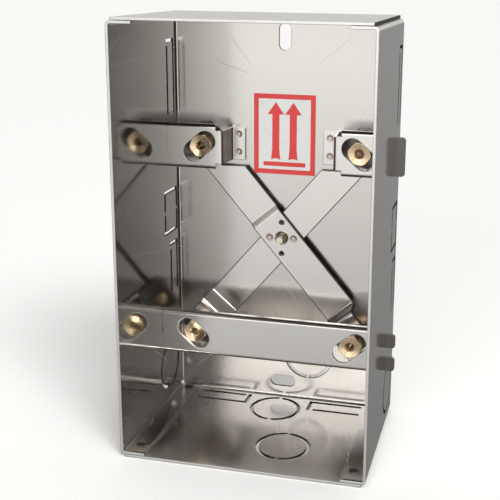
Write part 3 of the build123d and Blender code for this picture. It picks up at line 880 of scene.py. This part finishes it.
def studio_room(scene):
    """Room round the object: a dim ceiling, a wall behind, a white screen ahead and two soft boxes."""
    world = bpy.data.worlds.new("studio room")
    scene.world = world
    world.use_nodes = True
    tree = world.node_tree
    tree.nodes.clear()
    direction = add(tree, "ShaderNodeTexCoord").outputs["Generated"]
    parts = add(tree, "ShaderNodeSeparateXYZ", {"Vector": direction})
    front = add(tree, "ShaderNodeMath", {0: parts.outputs["Y"], 1: -1.0}, operation="MULTIPLY")
    turn = add(tree, "ShaderNodeMath", {0: parts.outputs["X"], 1: front}, operation="ARCTAN2")
    rise = add(tree, "ShaderNodeMath", {0: parts.outputs["Z"]}, operation="ARCSINE")

    ceiling = add(tree, "ShaderNodeMapRange", {
        "Value": rise, "From Min": 34 * DEGREE, "From Max": 70 * DEGREE, "To Min": 0.15, "To Max": 0.8},
        interpolation_type="SMOOTHSTEP")

    # The wall behind is grey up to the horizon and pale above it.
    behind = add(tree, "ShaderNodeMapRange", {
        "Value": front, "From Min": -0.05, "From Max": -0.3, "To Min": 0.0, "To Max": 1.0})
    low_wall = add(tree, "ShaderNodeMapRange", {
        "Value": rise, "From Min": -30 * DEGREE, "From Max": -5 * DEGREE, "To Min": 0.22, "To Max": 0.32})
    high_wall = add(tree, "ShaderNodeMapRange", {
        "Value": rise, "From Min": -2 * DEGREE, "From Max": 2 * DEGREE}, interpolation_type="SMOOTHSTEP")
    backdrop = add(tree, "ShaderNodeMix", {"Factor": high_wall, "A": low_wall, "B": HIGH_WALL_LIGHT},
                   data_type="FLOAT")

    # The screen ahead fades downwards, and is brighter towards its right edge.
    screen = add(tree, "ShaderNodeMapRange", {
        "Value": rise, "From Min": -30 * DEGREE, "From Max": 1.5 * DEGREE, "To Min": 0.35, "To Max": 1.36})
    lift = add(tree, "ShaderNodeMapRange", {
        "Value": rise, "From Min": -20 * DEGREE, "From Max": -12 * DEGREE, "To Min": 1.25, "To Max": 1.78})
    side = add(tree, "ShaderNodeMapRange", {
        "Value": turn, "From Min": 8 * DEGREE, "From Max": 15 * DEGREE, "To Min": 1.0, "To Max": lift})
    screen = add(tree, "ShaderNodeMath", {0: screen, 1: side}, operation="MULTIPLY")
    low, high = (room_patch(tree, turn, rise, limits) for limits in (SCREEN_LOW, SCREEN_HIGH))
    ahead = add(tree, "ShaderNodeMath", {0: low, 1: high}, operation="MAXIMUM")

    level = ceiling
    for mask, light in ((behind, backdrop), (ahead, screen),
                        (room_patch(tree, turn, rise, SOFT_BOX), SOFT_BOX_LIGHT),
                        (room_patch(tree, turn, rise, DARK_GAP), DARK_GAP_LIGHT),
                        (room_patch(tree, turn, rise, SIDE_BOX), SIDE_BOX_LIGHT)):
        level = add(tree, "ShaderNodeMix", {"Factor": mask, "A": level, "B": light}, data_type="FLOAT")
    light = add(tree, "ShaderNodeBackground", {"Color": ROOM_WHITE, "Strength": level})
    add(tree, "ShaderNodeOutputWorld", {"Surface": light})


def lamp_object(name, kind, power, place):
    """Lamp that faces the middle of the object."""
    lamp = bpy.data.lights.new(name, kind)
    lamp.energy = power
    light = bpy.data.objects.new(name, lamp)
    bpy.context.scene.collection.objects.link(light)
    light.location = place
    light.rotation_euler = (Vector(LIGHT_TARGET) - Vector(place)).to_track_quat("-Z", "Y").to_euler()
    return light


class SetStage(bpy.types.Operator):
    """Sets the floor, the studio light and the camera"""

    bl_idname = "mounting_box.set_stage"
    bl_label = "Stage"

    def execute(self, context):
        scene = context.scene
        stage = scene.mounting_box_stage
        scene.view_settings.view_transform = "Standard"

        bpy.ops.object.select_all(action="DESELECT")
        bpy.ops.mesh.primitive_plane_add(size=FLOOR_SIZE, location=(0, 0, 0))
        floor = context.object
        floor.name = "floor"
        # A matt floor takes the soft shadow and stays out of the metal's reflections.
        material, tree = new_material("pale floor")
        shader = add(tree, "ShaderNodeBsdfDiffuse", {"Color": rgba(stage.floor)})
        add(tree, "ShaderNodeOutputMaterial", {"Surface": shader})
        floor.data.materials.append(material)
        floor.visible_glossy = False

        studio_room(scene)
        key = lamp_object("key light", "SUN", stage.key_power, KEY_PLACE)
        key.data.angle = KEY_SPREAD
        # The fill lights the film inside the box and stays out of the metal's reflections.
        fill = lamp_object("fill light", "AREA", stage.fill_power, FILL_PLACE)
        fill.data.size = FILL_SIZE
        fill.visible_glossy = False

        lens = bpy.data.cameras.new("camera")
        lens.sensor_width = SENSOR_WIDTH
        lens.lens = stage.lens
        lens.shift_x, lens.shift_y = stage.camera_shift
        lens.clip_start = NEAREST_SEEN
        camera = bpy.data.objects.new("camera", lens)
        scene.collection.objects.link(camera)
        tilt, roll, turn = stage.camera_turn
        aim = (Matrix.Rotation(turn, 4, "Z") @ Matrix.Rotation(math.pi / 2 + tilt, 4, "X")
               @ Matrix.Rotation(roll, 4, "Z"))
        camera.matrix_world = Matrix.Translation(stage.camera_place) @ aim
        scene.camera = camera
        return {"FINISHED"}


class MountingBoxPanel(bpy.types.Panel):
    """Lists the mounting box's operators and settings"""

    bl_idname = "MOUNTINGBOX_PT_panel"
    bl_label = "Mounting box"
    bl_space_type = "VIEW_3D"
    bl_region_type = "UI"
    bl_category = "Mounting Box"

    def draw(self, context):
        for operator in OPERATORS:
            self.layout.operator(operator.bl_idname)
        for group in GROUPS:
            settings = getattr(context.scene, group)
            for name in settings.bl_rna.properties.keys():
                if name not in {"rna_type", "name"}:
                    self.layout.prop(settings, name)


GROUPS = {
    "mounting_box_finish": FinishSettings,
    "mounting_box_sign": SignSettings,
    "mounting_box_stage": StageSettings,
}
OPERATORS = [FinishSteel, FinishBrass, MakeLabel, SetStage]
CLASSES = [*GROUPS.values(), *OPERATORS, MountingBoxPanel]


def register():
    for cls in CLASSES:
        bpy.utils.register_class(cls)
    for name, cls in GROUPS.items():
        setattr(bpy.types.Scene, name, bpy.props.PointerProperty(type=cls))


def unregister():
    for name in GROUPS:
        delattr(bpy.types.Scene, name)
    for cls in reversed(CLASSES):
        bpy.utils.unregister_class(cls)


def main():
    register()
    bpy.ops.mounting_box.finish_steel()
    bpy.ops.mounting_box.finish_brass()
    bpy.ops.mounting_box.make_label()
    bpy.ops.mounting_box.set_stage()


if __name__ == "__main__":
    main()
